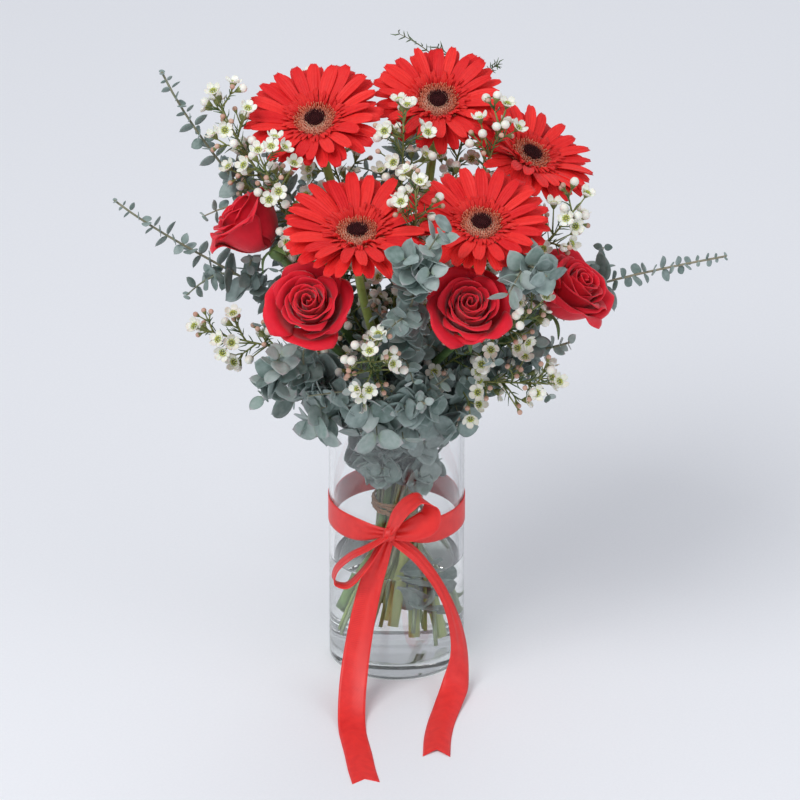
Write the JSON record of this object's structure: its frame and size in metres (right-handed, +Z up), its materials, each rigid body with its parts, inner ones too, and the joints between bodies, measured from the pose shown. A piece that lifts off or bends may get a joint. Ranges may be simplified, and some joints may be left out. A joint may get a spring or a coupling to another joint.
{
  "type": "vase of cut flowers",
  "caption": "Red gerberas and roses with eucalyptus and small white flowers, tied with twine in a clear cylinder vase that wears a red ribbon bow.",
  "frame": {"origin": "middle of the vase's underside, where it stands", "axes": "+Z up along the vase's axis; -Y to the front, where the ribbon's bow and tails are; +X to the viewer's right seen from the front"},
  "size_m": [0.4473, 0.3382, 0.4577],
  "materials": {
    "glass": "clear, polished",
    "water": null,
    "raffia": "dry brown raffia twine",
    "ribbon": "red satin ribbon with fine cross ribs",
    "gerbera_stem": "living yellow-green stem, finely hairy",
    "gerbera_florets": "pale salmon-red living florets",
    "gerbera_eye": "dark brown-purple living eye",
    "gerbera_rays": "satin red living petals",
    "rose_stem": "living mid-green stem and sepals",
    "rose_bloom": "velvety deep red living petals",
    "eucalyptus": "dull grey-green living leaves with a waxy bloom",
    "waxflower": "white living flowers and buds on green stalks"
  },
  "bodies": {
    "root": {"vase": "glass", "twine": "raffia", "ribbon": "ribbon", "water": "water", "gerbera_1_stem": "gerbera_stem", "gerbera_1_florets": "gerbera_florets", "gerbera_1_eye": "gerbera_eye", "gerbera_1_rays": "gerbera_rays", "gerbera_2_stem": "gerbera_stem", "gerbera_2_florets": "gerbera_florets", "gerbera_2_eye": "gerbera_eye", "gerbera_2_rays": "gerbera_rays", "gerbera_3_stem": "gerbera_stem", "gerbera_3_florets": "gerbera_florets", "gerbera_3_eye": "gerbera_eye", "gerbera_3_rays": "gerbera_rays", "gerbera_4_stem": "gerbera_stem", "gerbera_4_florets": "gerbera_florets", "gerbera_4_eye": "gerbera_eye", "gerbera_4_rays": "gerbera_rays", "gerbera_5_stem": "gerbera_stem", "gerbera_5_florets": "gerbera_florets", "gerbera_5_eye": "gerbera_eye", "gerbera_5_rays": "gerbera_rays", "rose_1_stem": "rose_stem", "rose_1_bloom": "rose_bloom", "rose_2_stem": "rose_stem", "rose_2_bloom": "rose_bloom", "rose_3_stem": "rose_stem", "rose_3_bloom": "rose_bloom", "rose_4_stem": "rose_stem", "rose_4_bloom": "rose_bloom", "eucalyptus_01": "eucalyptus", "eucalyptus_02": "eucalyptus", "eucalyptus_03": "eucalyptus", "eucalyptus_04": "eucalyptus", "eucalyptus_05": "eucalyptus", "eucalyptus_06": "eucalyptus", "eucalyptus_07": "eucalyptus", "eucalyptus_08": "eucalyptus", "eucalyptus_09": "eucalyptus", "eucalyptus_10": "eucalyptus", "eucalyptus_11": "eucalyptus", "eucalyptus_12": "eucalyptus", "waxflower_01": "waxflower", "waxflower_02": "waxflower", "waxflower_03": "waxflower", "waxflower_04": "waxflower", "waxflower_05": "waxflower", "waxflower_06": "waxflower", "waxflower_07": "waxflower", "waxflower_08": "waxflower", "waxflower_09": "waxflower", "waxflower_10": "waxflower", "waxflower_11": "waxflower", "waxflower_12": "waxflower"}
  },
  "joints": []
}
